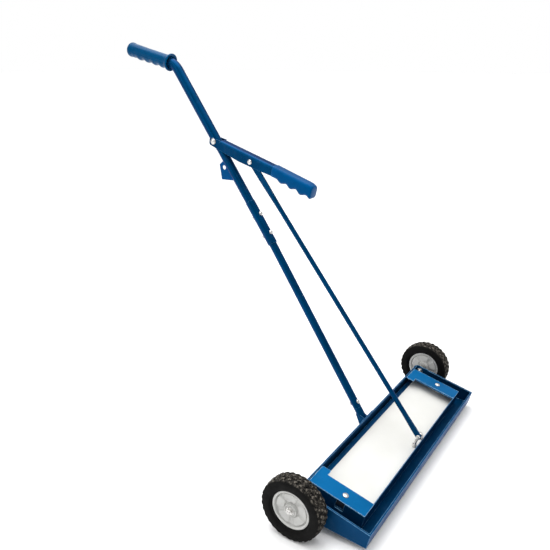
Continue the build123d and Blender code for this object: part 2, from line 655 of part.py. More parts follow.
# Lever pivot through the tube
RING_X = CHEEK_OUT + 0.3
RING_R = 9.0
with BuildPart() as lever_bolt:
    extrude(disc(side(-RING_X, *PIVOT), RING_R), amount=-WASHER_THICK)
    extrude(disc(side(-RING_X - WASHER_THICK, *PIVOT), HEAD_R), amount=-HEAD)
    extrude(disc(side(-RING_X - WASHER_THICK, *PIVOT), BOLT_R), amount=2 * CHEEK_OUT + 11.0)

with BuildPart() as lever_nut:
    extrude(disc(side(RING_X, *PIVOT), RING_R, BOLT_R + RUN), amount=WASHER_THICK)
    extrude(hexagon(side(RING_X + WASHER_THICK, *PIVOT), HEX_LARGE, BOLT_R + RUN), amount=NUT_LARGE)

# Lever: a channel with an arched top, cut back to two cheeks where it straddles the tube
LEVER_REAR = along(LEVER_FRONT, LEVER_TOP, LEVER_LEAN, WEB_LENGTH)
LEVER_SIDE = [
    (731.5, LEVER_REAR[1]),
    (728.5, 613.8),
    (655.1, 603.1),
    (613.0, 597.3),
    (541.2, 594.8),
    (LEVER_FRONT, 594.0),
    (LEVER_FRONT, LEVER_TOP - LEVER_BEND),
    (LEVER_REAR[0], LEVER_REAR[1] - LEVER_BEND),
    LEVER_REAR,
]
with BuildPart() as release_lever:
    for start in (CHEEK_IN, -CHEEK_OUT):
        with BuildSketch(side(start)) as cheek_face:
            with BuildLine():
                Polyline(*LEVER_SIDE, close=True)
            make_face()
            fillet([v for v in cheek_face.vertices() if v.X > 725], 6.0)
        extrude(amount=CHEEK_OUT - CHEEK_IN)
    web_wall = CHEEK_OUT - CHEEK_IN
    with BuildSketch(square_to(LEVER_FRONT, LEVER_TOP, LEVER_LEAN)):
        with Locations((0, LEVER_BEND)):
            RectangleRounded(2 * CHEEK_OUT, 2 * LEVER_BEND, LEVER_BEND - 0.01)
            inner_bend = LEVER_BEND - web_wall
            RectangleRounded(2 * CHEEK_IN, 2 * inner_bend, inner_bend - 0.01, mode=Mode.SUBTRACT)
        with Locations((0, 1.6 * LEVER_BEND)):
            Rectangle(3 * CHEEK_OUT, 1.2 * LEVER_BEND, mode=Mode.SUBTRACT)
    extrude(amount=WEB_LENGTH)
    extrude(disc(side(-30.0, *PIVOT), BOLT_R + RUN), amount=60.0, mode=Mode.SUBTRACT)
    extrude(disc(side(-30.0, ROD_Y, ROD_Z), BOLT_R + RUN), amount=60.0, mode=Mode.SUBTRACT)

GRIP_SIDE = [
    (497.0, 623.5),
    (497.0, 594.5),
    (478.0, 588.5),
    (461.2, 582.5),
    (445.0, 586.5),
    (428.2, 578.3),
    (411.0, 583.0),
    (393.5, 573.4),
    (376.0, 578.0),
    (359.7, 570.9),
    (360.5, 606.0),
    (366.0, 612.5),
    (486.0, 623.0),
]
with BuildPart() as lever_grip:
    with BuildSketch(side(-20.0)):
        with BuildLine():
            Polyline(*GRIP_SIDE, close=True)
        make_face()
    extrude(amount=40.0)
    fillet([e for e in lever_grip.edges().filter_by(Axis.X)], 1.5)
    pocket = [
        (500.0, 592.0),
        (470.0, 592.0),
        (470.0, 596.0),
        (372.0, 592.0),
        (372.0, 605.0),
        (470.0, 613.0),
        (470.0, 621.2),
        (500.0, 623.1),
    ]
    extrude(polygon(side(-CHEEK_OUT - 0.1), pocket), amount=2 * CHEEK_OUT + 0.2, mode=Mode.SUBTRACT)

# Connecting rod with its bolts
with BuildPart() as rod_bolt:
    extrude(disc(side(-CHEEK_OUT, ROD_Y, ROD_Z), HEAD_R), amount=-HEAD)
    extrude(disc(side(-CHEEK_OUT, ROD_Y, ROD_Z), BOLT_R), amount=2 * CHEEK_OUT + 9.0)

with BuildPart() as rod_nut:
    extrude(hexagon(side(CHEEK_OUT, ROD_Y, ROD_Z), HEX_LARGE, BOLT_R + RUN), amount=NUT_LARGE)

with BuildPart() as rod_spacers:
    blade_in = ROD_X - BLADE / 2 - BLADE_GAP
    blade_out = ROD_X + BLADE / 2 + BLADE_GAP
    extrude(disc(side(-CHEEK_IN, ROD_Y, ROD_Z), 6.5, BOLT_R + RUN), amount=blade_in + CHEEK_IN)
    extrude(disc(side(blade_out, ROD_Y, ROD_Z), 6.5, BOLT_R + RUN), amount=CHEEK_IN - blade_out)

ROD_FOOT = at(EYE_PIN_X, EYE_PIN_Y, EYE_PIN_Z)
ROD_HEAD = at(ROD_X, ROD_Y, ROD_Z)


def rod_plane(distance):
    """Plane square to the rod at a distance up from its foot pin."""
    direction = (ROD_HEAD - ROD_FOOT).normalized()
    return Plane(origin=ROD_FOOT + direction * distance, x_dir=(1, 0, 0), z_dir=direction)


def flattened_end(pin_at, near, far, half_wide):
    """Blade round the pin, swelling into the round tube between near and far."""
    blade_plane = rod_plane(min(pin_at, near))
    with BuildSketch(blade_plane) as blade:
        Rectangle(BLADE, 2 * half_wide)
    extrude(blade.sketch, amount=abs(near - pin_at))
    with BuildSketch(rod_plane(near)) as flat:
        Rectangle(BLADE, 2 * half_wide)
    with BuildSketch(rod_plane(far)) as round_face:
        Circle(ROD_R)
    loft([flat.sketch, round_face.sketch])


ROD_LENGTH = (ROD_HEAD - ROD_FOOT).length
FOOT_FLAT = 24.0
FOOT_TAPER = 90.0
HEAD_FLAT = ROD_LENGTH - 60.0
HEAD_TAPER = ROD_LENGTH - 180.0
with BuildPart() as connecting_rod:
    flattened_end(0.0, FOOT_FLAT, FOOT_TAPER, BLADE_FOOT)
    extrude(disc(rod_plane(FOOT_TAPER), ROD_R), amount=HEAD_TAPER - FOOT_TAPER)
    flattened_end(ROD_LENGTH, HEAD_FLAT, HEAD_TAPER, BLADE_TOP)
    extrude(disc(side(EYE_PIN_X - BLADE / 2, EYE_PIN_Y, EYE_PIN_Z), BLADE_FOOT), amount=BLADE)
    extrude(disc(side(ROD_X - BLADE / 2, ROD_Y, ROD_Z), BLADE_TOP), amount=BLADE)
    bore_from = FOOT_TAPER + 5.0
    extrude(disc(rod_plane(bore_from), ROD_R - WALL), amount=HEAD_TAPER - bore_from - 5.0, mode=Mode.SUBTRACT)
    extrude(disc(side(-30.0, ROD_Y, ROD_Z), BOLT_R + RUN), amount=60.0, mode=Mode.SUBTRACT)
    extrude(disc(side(-30.0, EYE_PIN_Y, EYE_PIN_Z), BOLT_R + RUN), amount=60.0, mode=Mode.SUBTRACT)

EYE_HEAD_X = EYE_PIN_X - BLADE / 2 - BLADE_GAP
EYE_NUT_X = EYE_X + EYE_HALF + BLADE_GAP
with BuildPart() as eye_pin:
    extrude(disc(side(EYE_HEAD_X, EYE_PIN_Y, EYE_PIN_Z), 6.5), amount=-3.5)
    extrude(disc(side(EYE_HEAD_X, EYE_PIN_Y, EYE_PIN_Z), BOLT_R), amount=EYE_NUT_X + 8.0 - EYE_HEAD_X)

with BuildPart() as eye_pin_nut:
    extrude(hexagon(side(EYE_NUT_X, EYE_PIN_Y, EYE_PIN_Z), HEX_LARGE, BOLT_R + RUN), amount=NUT_LARGE)

PIECES = {
    "outer_tray": outer_tray,
    "housing": housing,
    "end_plate_right": end_plate_right,
    "end_plate_left": end_plate_left,
    "plate_bolts": plate_bolts,
    "plate_nuts": plate_nuts,
    "axle_bolts": axle_bolts,
    "axle_nuts": axle_nuts,
    "axle_washers": axle_washers,
    "axle_spacers": axle_spacers,
    "hub_bush_right": hub_bush_right,
    "hub_bush_left": hub_bush_left,
    "wheel_hub_right": wheel_hub_right,
    "wheel_hub_left": wheel_hub_left,
    "tyre_right": tyre_right,
    "tyre_left": tyre_left,
    "carrier_pan": carrier_pan,
    "cover_plate": cover_plate,
    "backing_plate": backing_plate,
    "magnets": magnets,
    "hinge_pins": hinge_pins,
    "hinge_collars": hinge_collars,
    "rest_pads": rest_pads,
    "eye_bolt": eye_bolt,
    "eye_nuts": eye_nuts,
    "eye_washer": eye_washer,
    "handle_socket": handle_socket,
    "handle_lower_tube": handle_lower_tube,
    "handle_sleeve": handle_sleeve,
    "handle_mid_tube": handle_mid_tube,
    "handle_upper_tube": handle_upper_tube,
    "hanging_tab": hanging_tab,
    "handle_grip": handle_grip,
    "tube_bolts": tube_bolts,
    "tube_nuts": tube_nuts,
    "lever_bolt": lever_bolt,
    "lever_nut": lever_nut,
    "release_lever": release_lever,
    "lever_grip": lever_grip,
    "rod_bolt": rod_bolt,
    "rod_nut": rod_nut,
    "rod_spacers": rod_spacers,
    "connecting_rod": connecting_rod,
    "eye_pin": eye_pin,
    "eye_pin_nut": eye_pin_nut,
}
for name, piece in PIECES.items():
    piece.part.label = name
    export_step(piece.part, "parts/" + name + ".step")
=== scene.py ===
"""Magnetic nail sweeper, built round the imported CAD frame.

Finishes, wheels, grips, hardware, floor, light and camera.
"""

import json
import math
import random

import bpy
from mathutils import Matrix, Vector


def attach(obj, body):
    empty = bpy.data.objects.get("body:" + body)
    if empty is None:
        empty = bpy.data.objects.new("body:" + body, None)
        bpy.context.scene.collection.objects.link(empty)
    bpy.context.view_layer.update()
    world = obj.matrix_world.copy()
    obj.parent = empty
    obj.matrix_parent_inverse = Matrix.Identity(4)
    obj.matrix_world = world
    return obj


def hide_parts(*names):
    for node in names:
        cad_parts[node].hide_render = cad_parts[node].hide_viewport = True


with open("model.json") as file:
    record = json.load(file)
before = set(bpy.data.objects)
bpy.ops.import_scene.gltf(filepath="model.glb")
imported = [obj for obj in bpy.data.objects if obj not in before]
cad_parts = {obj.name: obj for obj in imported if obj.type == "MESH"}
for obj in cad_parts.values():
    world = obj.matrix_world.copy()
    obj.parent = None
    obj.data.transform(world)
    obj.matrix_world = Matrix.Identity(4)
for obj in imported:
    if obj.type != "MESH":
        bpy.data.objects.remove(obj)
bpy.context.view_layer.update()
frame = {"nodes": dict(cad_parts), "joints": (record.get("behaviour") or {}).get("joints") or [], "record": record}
nodes = frame["nodes"]
joints = {j["name"]: j for j in frame["joints"]}
mounts = {m["name"]: m for m in frame["record"]["mounts"]}
rng = random.Random(7)

MM = 0.001
TAU = 2 * math.pi

# The tray frame: x across, y to the rear, z square to the top plates, origin on the axle line.
down = Vector(mounts["bottom"]["axis"])
TILT = math.atan2(down.y, -down.z)
AXLE = Vector((0.0, *joints["wheel_right_spin"]["pos_m"][1:]))
TRAY = Matrix.Translation(AXLE) @ Matrix.Rotation(TILT, 4, "X")


def tray(x, y, z):
    """A point of the tray frame, given in mm, in the row frame."""
    return TRAY @ (Vector((x, y, z)) * MM)


def in_tray(point):
    """A row frame point as tray frame mm."""
    return (TRAY.inverted() @ Vector(point)) / MM


def tray_dir(x, y, z):
    return (TRAY.to_3x3() @ Vector((x, y, z))).normalized()


PIVOT = in_tray(joints["lever_pivot"]["pos_m"])
ROD_PIN = in_tray(joints["rod_pivot"]["pos_m"])
HIGH_LEAN = math.radians(48.5)
LOW_LEAN = math.radians(47.0)
EYE_PIN = Vector((12.0, -135.8, 30.0))
EYE = Vector((18.3, -137.5, 28.6))
SHANK_Y = -132.6


# ---------------------------------------------------------------- materials


def add_node(tree, kind, inputs=None, **settings):
    made = tree.nodes.new("ShaderNode" + kind)
    for key, value in settings.items():
        setattr(made, key, value)
    for key, value in (inputs or {}).items():
        if isinstance(value, bpy.types.NodeSocket):
            tree.links.new(value, made.inputs[key])
        else:
            made.inputs[key].default_value = value
    return made


def material(name):
    made = bpy.data.materials.new(name)
    made.use_nodes = True
    tree = made.node_tree
    tree.nodes.clear()
    surface = add_node(tree, "BsdfPrincipled")
    add_node(tree, "OutputMaterial", {"Surface": surface.outputs[0]})
    return made, tree, surface


def place_on(tree, scale=(1.0, 1.0, 1.0)):
    where = add_node(tree, "TexCoord").outputs["Object"]
    return add_node(tree, "Mapping", {"Vector": where, "Scale": scale}).outputs[0]


def noise(tree, scale, detail=3.0, rough=0.55, stretch=(1.0, 1.0, 1.0)):
    inputs = {"Vector": place_on(tree, stretch), "Scale": scale, "Detail": detail, "Roughness": rough}
    return add_node(tree, "TexNoise", inputs).outputs[0]


def remap(tree, value, low, high, out_low=0.0, out_high=1.0):
    inputs = {"Value": value, "From Min": low, "From Max": high, "To Min": out_low, "To Max": out_high}
    return add_node(tree, "MapRange", inputs, clamp=True).outputs[0]


def math_of(tree, kind, a, b):
    return add_node(tree, "Math", {0: a, 1: b}, operation=kind).outputs[0]


def mix(tree, factor, a, b):
    made = add_node(tree, "Mix", data_type="RGBA")
    for slot, value in ((0, factor), (6, a), (7, b)):
        if isinstance(value, bpy.types.NodeSocket):
            tree.links.new(value, made.inputs[slot])
        else:
            made.inputs[slot].default_value = value if slot == 0 else (*value, 1.0)
    return made.outputs[2]


def edges(tree, radius):
    """1 along the edges of a piece, 0 on its faces."""
    soft = add_node(tree, "Bevel", {"Radius": radius}, samples=4).outputs[0]
    plain = add_node(tree, "NewGeometry").outputs["Normal"]
    same = add_node(tree, "VectorMath", {0: soft, 1: plain}, operation="DOT_PRODUCT").outputs["Value"]
    return remap(tree, same, 0.995, 0.90)


def bump(tree, surface, height, strength, distance, normal=None):
    inputs = {"Height": height, "Strength": strength, "Distance": distance}
    if normal is not None:
        inputs["Normal"] = normal
    tree.links.new(add_node(tree, "Bump", inputs).outputs[0], surface.inputs["Normal"])


def paint(name, colour, edge_highlight_colour, metallic, roughness, coat=0.2, edge=0.0008):
    """Sprayed and baked paint: slow colour drift, orange peel, paler edges that are partly wear and partly painted
    highlight, a little dust.
    """
    made, tree, surface = material(name)
    drift = remap(tree, noise(tree, 9.0, 4.0), 0.35, 0.7)
    base = mix(tree, drift, [c * 0.82 for c in colour], [min(1.0, c * 1.15) for c in colour])
    # Paler edges: partly edge wear, partly a painted highlight along every edge.
    worn_and_highlit_edge = edges(tree, edge)
    edge_patchiness = remap(tree, noise(tree, 120.0, 4.0), 0.3, 0.6, 0.35, 1.0)
    scuff_and_highlight = math_of(tree, "MULTIPLY", worn_and_highlit_edge, edge_patchiness)
    base = mix(tree, scuff_and_highlight, base, edge_highlight_colour)
    # Real dust here, a faint grey film.
    dust_and_highlight = remap(tree, noise(tree, 38.0, 6.0, 0.7), 0.56, 0.8, 0.0, 0.03)
    base = mix(tree, dust_and_highlight, base, (0.42, 0.44, 0.46))
    tree.links.new(base, surface.inputs["Base Color"])
    surface.inputs["Metallic"].default_value = metallic
    rough = remap(tree, noise(tree, 24.0, 5.0), 0.3, 0.7, roughness - 0.06, roughness + 0.1)
    tree.links.new(rough, surface.inputs["Roughness"])
    surface.inputs["Specular IOR Level"].default_value = 0.25
    surface.inputs["Specular Tint"].default_value = (*BLUE_GLINT, 1.0)
    surface.inputs["Coat Weight"].default_value = coat
    surface.inputs["Coat Roughness"].default_value = 0.12
    rounded = add_node(tree, "Bevel", {"Radius": edge}, samples=4).outputs[0]
    bump(tree, surface, noise(tree, 420.0, 2.0), 0.10, 0.0006, rounded)
    return made


def zinc(name, colour=(0.72, 0.71, 0.69), roughness=0.26, stretch=(1.0, 1.0, 1.0)):
    """Bright zinc plate with a cloudy grain and fine rubbing."""
    made, tree, surface = material(name)
    cloud = remap(tree, noise(tree, 160.0, 5.0, 0.6, stretch), 0.3, 0.7)
    base = mix(tree, cloud, [c * 0.72 for c in colour], colour)
    tree.links.new(base, surface.inputs["Base Color"])
    surface.inputs["Metallic"].default_value = 1.0
    rough = remap(tree, noise(tree, 90.0, 4.0), 0.3, 0.7, roughness - 0.08, roughness + 0.14)
    tree.links.new(rough, surface.inputs["Roughness"])
    rounded = add_node(tree, "Bevel", {"Radius": 0.0004}, samples=4).outputs[0]
    bump(tree, surface, noise(tree, 900.0, 2.0, 0.5, stretch), 0.12, 0.0003, rounded)
    return made


# Where the cover plate's painted shade begins, across x in metres.
PAINTED_SHADE_FROM = -0.298


def bright_sheet(name):
    """The pale plate over the magnets: fine grain, warm blotches, and painted shade on its left end, seen through
    the end wall's notch.
    """
    made, tree, surface = material(name)
    blotch = remap(tree, noise(tree, 5.0, 4.0), 0.35, 0.7)
    base = mix(tree, blotch, (0.64, 0.64, 0.615), (0.58, 0.575, 0.545))
    grain = noise(tree, 260.0, 3.0, 0.6, (0.06, 1.0, 1.0))
    base = mix(tree, remap(tree, grain, 0.5, 0.85, 0.0, 0.25), base, (0.62, 0.63, 0.64))
    where = add_node(tree, "TexCoord").outputs["Object"]
    across = add_node(tree, "SeparateXYZ", {"Vector": where}).outputs["X"]
    # Painted shade: the plate's left end is turned near-black so the end wall's notch reads as shadow.
    painted_shade = remap(tree, across, PAINTED_SHADE_FROM, PAINTED_SHADE_FROM - 0.002)
    base = mix(tree, painted_shade, base, (0.001, 0.010, 0.030))
    tree.links.new(base, surface.inputs["Base Color"])
    surface.inputs["Metallic"].default_value = 0.0
    surface.inputs["Specular IOR Level"].default_value = 0.3
    tree.links.new(remap(tree, grain, 0.3, 0.7, 0.34, 0.5), surface.inputs["Roughness"])
    bump(tree, surface, grain, 0.08, 0.0003)
    return made


def plastic(name, colour, roughness, edge_highlight_colour=None, coat=0.2, scale=700.0, tint=(1.0, 1.0, 1.0)):
    """Moulded plastic: faint flow marks, fine grain, and a painted highlight along the edges."""
    made, tree, surface = material(name)
    flow = remap(tree, noise(tree, 14.0, 4.0, 0.6, (1.0, 0.5, 1.0)), 0.35, 0.7)
    base = mix(tree, flow, [c * 0.88 for c in colour], [min(1.0, c * 1.1) for c in colour])
    # Painted highlight: every edge is lightened towards the edge highlight colour.
    base = mix(tree, edges(tree, 0.0012), base, edge_highlight_colour or [min(1.0, c * 1.5 + 0.02) for c in colour])
    tree.links.new(base, surface.inputs["Base Color"])
    rough = remap(tree, noise(tree, 60.0, 4.0), 0.3, 0.7, roughness - 0.05, roughness + 0.08)
    tree.links.new(rough, surface.inputs["Roughness"])
    surface.inputs["Specular IOR Level"].default_value = 0.2
    surface.inputs["Specular Tint"].default_value = (*tint, 1.0)
    surface.inputs["Coat Weight"].default_value = coat
    surface.inputs["Coat Roughness"].default_value = 0.2
    bump(tree, surface, noise(tree, scale, 3.0), 0.16, 0.0004)
    return made


def tyre_rubber(name):
    """Black rubber: satin sidewalls, and tread blocks with pale brown-grey patches, partly dust and partly painted
    highlight.
    """
    made, tree, surface = material(name)
    where = add_node(tree, "TexCoord").outputs["Object"]
    centre = add_node(tree, "VectorMath", {0: where, 1: AXLE}, operation="SUBTRACT").outputs[0]
    flat = add_node(tree, "VectorMath", {0: centre, 1: (0.0, 1.0, 1.0)}, operation="MULTIPLY").outputs[0]
    radius = add_node(tree, "VectorMath", {0: flat}, operation="LENGTH").outputs["Value"]
    # Tread blocks: pale brown-grey patches, partly dust and partly a painted highlight on the block tops.
    tread = remap(tree, radius, 0.0785, 0.0812)
    patch = remap(tree, noise(tree, 170.0, 4.0, 0.7), 0.46, 0.60)
    dust_and_highlight = math_of(tree, "MULTIPLY", tread, patch)
    cloud = remap(tree, noise(tree, 40.0, 5.0), 0.3, 0.75)
    base = mix(tree, cloud, (0.0018, 0.0018, 0.0018), (0.0045, 0.0043, 0.0040))
    base = mix(tree, dust_and_highlight, base, (0.15, 0.135, 0.115))
    tree.links.new(base, surface.inputs["Base Color"])
    rough = remap(tree, noise(tree, 70.0, 4.0), 0.3, 0.7, 0.55, 0.75)
    tree.links.new(rough, surface.inputs["Roughness"])
    surface.inputs["Specular IOR Level"].default_value = 0.08
    bump(tree, surface, noise(tree, 500.0, 4.0), 0.25, 0.0005)
    return made


def ferrite(name):
    made, tree, surface = material(name)
    speck = remap(tree, noise(tree, 600.0, 4.0, 0.7), 0.4, 0.7)
    base = mix(tree, speck, (0.045, 0.045, 0.05), (0.13, 0.13, 0.135))
    # Painted highlight: the magnets' edges are lightened to a paler grey.
    base = mix(tree, edges(tree, 0.001), base, (0.22, 0.22, 0.23))
    tree.links.new(base, surface.inputs["Base Color"])
    surface.inputs["Metallic"].default_value = 0.3
    surface.inputs["Roughness"].default_value = 0.62
    bump(tree, surface, noise(tree, 350.0, 5.0), 0.3, 0.0005)
    return made


def floor_paint(name):
    made, tree, surface = material(name)
    tone = remap(tree, noise(tree, 1.3, 3.0), 0.3, 0.7)
    base = mix(tree, tone, (0.885, 0.885, 0.885), (0.905, 0.905, 0.905))
    tree.links.new(base, surface.inputs["Base Color"])
    surface.inputs["Roughness"].default_value = 0.8
    return made


BLUE_GLINT = (0.0, 0.40, 1.0)
# In each paint and plastic below, the paler second colour is the painted edge highlight; for the paints it also
# stands for edge wear.
NAVY = paint("navy_paint", (0.0, 0.034, 0.102), (0.16, 0.38, 0.62), 0.45, 0.25, 0.0)
TRAY_NAVY = paint("tray_paint", (0.0, 0.036, 0.105), (0.22, 0.46, 0.70), 0.35, 0.34, 0.0, 0.0020)
BRIGHT_BLUE = paint("bright_blue_paint", (0.0, 0.095, 0.255), (0.50, 0.76, 1.0), 0.20, 0.38, 0.0, 0.0022)
PALE_BLUE = paint("tab_paint", (0.0, 0.056, 0.190), (0.24, 0.46, 0.76), 0.30, 0.34, 0.0)
ZINC = zinc("zinc_plate")
ZINC_DULL = zinc("dull_zinc", (0.50, 0.50, 0.49), 0.38)
SHEET = bright_sheet("bright_sheet")
GRIP = plastic("grip_plastic", (0.0, 0.046, 0.125), 0.30, (0.0, 0.20, 0.40), 0.0, tint=BLUE_GLINT)
LEVER_GRIP = plastic("lever_grip_plastic", (0.0, 0.052, 0.165), 0.34, (0.0, 0.18, 0.42), 0.0, tint=BLUE_GLINT)
HUB = plastic("hub_plastic", (0.46, 0.46, 0.445), 0.42, (0.70, 0.70, 0.68), 0.1, 300.0)
BUSH = plastic("bush_plastic", (0.02, 0.02, 0.021), 0.5, (0.06, 0.06, 0.06), 0.0)
RUBBER = tyre_rubber("tyre_rubber")
PAD = plastic("pad_rubber", (0.015, 0.015, 0.015), 0.7, (0.04, 0.04, 0.04), 0.0)
FERRITE = ferrite("ferrite")

CARRIED = {
    "outer_tray": TRAY_NAVY,
    "housing": TRAY_NAVY,
    "end_plate_right": BRIGHT_BLUE,
    "end_plate_left": BRIGHT_BLUE,
    "carrier_pan": TRAY_NAVY,
    "cover_plate": SHEET,
    "backing_plate": ZINC_DULL,
    "magnets": FERRITE,
    "rest_pads": PAD,
    "hinge_collars": BUSH,
    "rod_spacers": BUSH,
    "hub_bush_right": BUSH,
    "hub_bush_left": BUSH,
    "handle_socket": NAVY,
    "handle_lower_tube": NAVY,
    "handle_sleeve": NAVY,
    "handle_mid_tube": NAVY,
    "handle_upper_tube": NAVY,
    "hanging_tab": PALE_BLUE,
    "release_lever": NAVY,
    "connecting_rod": NAVY,
}
for node_name, cad in nodes.items():
    cad.data.materials.clear()
    cad.data.materials.append(CARRIED.get(node_name, ZINC))


# ---------------------------------------------------------------- mesh helpers


def mesh_object(name, vertices, faces, finish, smooth=True):
    mesh = bpy.data.meshes.new(name)
    mesh.from_pydata([tuple(v) for v in vertices], [], faces)
    mesh.update()
    mesh.materials.append(finish)
    for polygon in mesh.polygons:
        polygon.use_smooth = smooth
    made = bpy.data.objects.new(name, mesh)
    bpy.context.scene.collection.objects.link(made)
    return made


def skin(rings, closed=False, first=0):
    """Quads between equal rings of points; closed joins the last ring to the first one."""
    count = len(rings[0])
    faces = []
    for i in range(len(rings) if closed else len(rings) - 1):
        a = first + i * count
        b = first + (i + 1) % len(rings) * count
        for j in range(count):
            k = (j + 1) % count
            faces.append((a + j, a + k, b + k, b + j))
    return faces


def flatten(rings):
    return [point for ring in rings for point in ring]


def frame_along(origin, direction, across=(1.0, 0.0, 0.0)):
    """Matrix whose z runs along direction, for pieces made in mm round their own z axis."""
    z = Vector(direction).normalized()
    x = Vector(across)
    if abs(x.dot(z)) > 0.9:
        x = Vector((0.0, 0.0, 1.0))
    x = (x - z * x.dot(z)).normalized()
    y = z.cross(x)
    turn = Matrix((x, y, z)).transposed().to_4x4()
    return Matrix.Translation(origin) @ turn @ Matrix.Scale(MM, 4)


def hexagon_radius(angle, across):
    turned = (angle + math.pi / 6) % (math.pi / 3) - math.pi / 6
    return across / 2 / math.cos(turned)


def turned_rings(profile, steps=48):
    """Rings about z from (height, radius) pairs, where radius may be a function of the angle."""
    rings = []
    for height, radius in profile:
        ring = []
        for i in range(steps):
            angle = TAU * i / steps
            r = radius(angle) if callable(radius) else radius
            ring.append(Vector((r * math.cos(angle), r * math.sin(angle), height)))
        rings.append(ring)
    return rings


class Piece:
    """Collects rings of points in mm, then makes one object of them."""

    def __init__(self):
        self.vertices = []
        self.faces = []

    def add(self, rings, matrix, closed=False, cap_first=False, cap_last=False):
        first = len(self.vertices)
        count = len(rings[0])
        self.vertices += [matrix @ p for p in flatten(rings)]
        self.faces += skin(rings, closed, first)
        if cap_first:
            self.faces.append(tuple(first + i for i in reversed(range(count))))
        if cap_last:
            last = first + (len(rings) - 1) * count
            self.faces.append(tuple(last + i for i in range(count)))
        return self

    def make(self, name, finish, body, slot, smooth=True, replaces=()):
        made = mesh_object(name, self.vertices, self.faces, finish, smooth)
        sharpen(made)
        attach(made, body)
        if replaces:
            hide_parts(*replaces)
        return made


def sharpen(made, degrees=38.0):
    """Keeps smooth shading on round stretches and creases where faces turn by more than degrees."""
    mesh = made.data
    mesh.set_sharp_from_angle(angle=math.radians(degrees))


def hex_head(across, height, bore=0.0):
    """A chamfered hexagon; bore opens it as a nut."""
    def full(angle):
        return hexagon_radius(angle, across)

    def trimmed(angle):
        return min(hexagon_radius(angle, across), across * 0.515)

    def rounded(angle):
        return min(hexagon_radius(angle, across), across * 0.475)

    profile = [(0.0, trimmed), (height * 0.10, full), (height * 0.82, full)]
    profile += [(height * 0.95, trimmed), (height, rounded)]
    if bore:
        profile = [(0.0, bore)] + profile + [(height, bore * 1.25), (height * 0.9, bore)]
    return turned_rings(profile)


def dome_head(radius, height):
    profile = [(0.0, radius * 0.93), (0.2, radius), (height * 0.18, radius)]
    for i in range(1, 9):
        angle = math.pi / 2 * i / 9
        profile.append((height * (0.18 + 0.82 * math.sin(angle)), radius * math.cos(angle) ** 0.8))
    return turned_rings(profile)


def washer(radius, bore, thick):
    profile = [(0.0, bore), (0.0, radius - 0.2), (0.2, radius)]
    profile += [(thick - 0.2, radius), (thick, radius - 0.2), (thick, bore)]
    return turned_rings(profile)


def lifted(rings, height):
    return [[point + Vector((0, 0, height)) for point in ring] for ring in rings]


def thread(radius, length, pitch=1.25, steps=36):
    """A threaded shank with a real helix and a chamfered tip."""
    rings = []
    count = max(6, int(length / pitch * 5))
    for i in range(count + 1):
        height = length * i / count
        ring = []
        for j in range(steps):
            angle = TAU * j / steps
            phase = (height / pitch - j / steps) % 1.0
            cut = 0.55 * pitch * (1 - abs(2 * phase - 1))
            r = radius - cut * 0.8
            tip = max(0.0, height - (length - 1.0))
            r -= tip * 0.7
            ring.append(Vector((r * math.cos(angle), r * math.sin(angle), height)))
        rings.append(ring)
    return rings


def smooth_step(value, low, high):
    t = min(1.0, max(0.0, (value - low) / (high - low)))
    return t * t * (3 - 2 * t)


# ---------------------------------------------------------------- wheels

WHEEL_R = AXLE.z / MM
HUB_R = 51.0
WHEEL_MID = 430.5
HUB_HALF = 17.6
RIM_HALF = 15.9
TYRE_HALF = 23.5
BUSH_R = 10.0
KNOBS = 30
TREAD_ROWS = ((-18.6, 0.0, 7.4), (-9.4, 0.5, 6.8), (0.0, 0.0, 6.8), (9.4, 0.5, 6.8), (18.6, 0.0, 7.4))


def wheel_matrix(sign):
    """Wheel frame in mm: z along the axle outward, x up."""
    centre = Vector((sign * WHEEL_MID * MM, AXLE.y, AXLE.z))
    return frame_along(centre, (sign, 0, 0), (0, 0, 1))


def crown(x):
    """Radius of the tread's top at a distance from the wheel's middle."""
    return WHEEL_R - 0.05 - 0.0062 * x * x


def tread_block(row_x, angle, width, length):
    """Four rings of a tapered, rounded block standing on the carcass."""
    rings = []
    for depth, taper in ((-3.6, 0.0), (-0.7, 0.25), (-0.2, 0.6), (0.0, 1.3)):
        ring = []
        for sx, sa in ((-1, -1), (0, -1), (1, -1), (1, 0), (1, 1), (0, 1), (-1, 1), (-1, 0)):
            corner = 0.35 if sx and sa else 0.0
            half_x = width / 2 - taper - corner
            half_a = length / 2 - taper - corner
            x = row_x + sx * half_x
            r = crown(x) + depth
            turn = angle + sa * half_a / WHEEL_R
            ring.append(Vector((r * math.cos(turn), r * math.sin(turn), x)))
        rings.append(ring)
    return rings


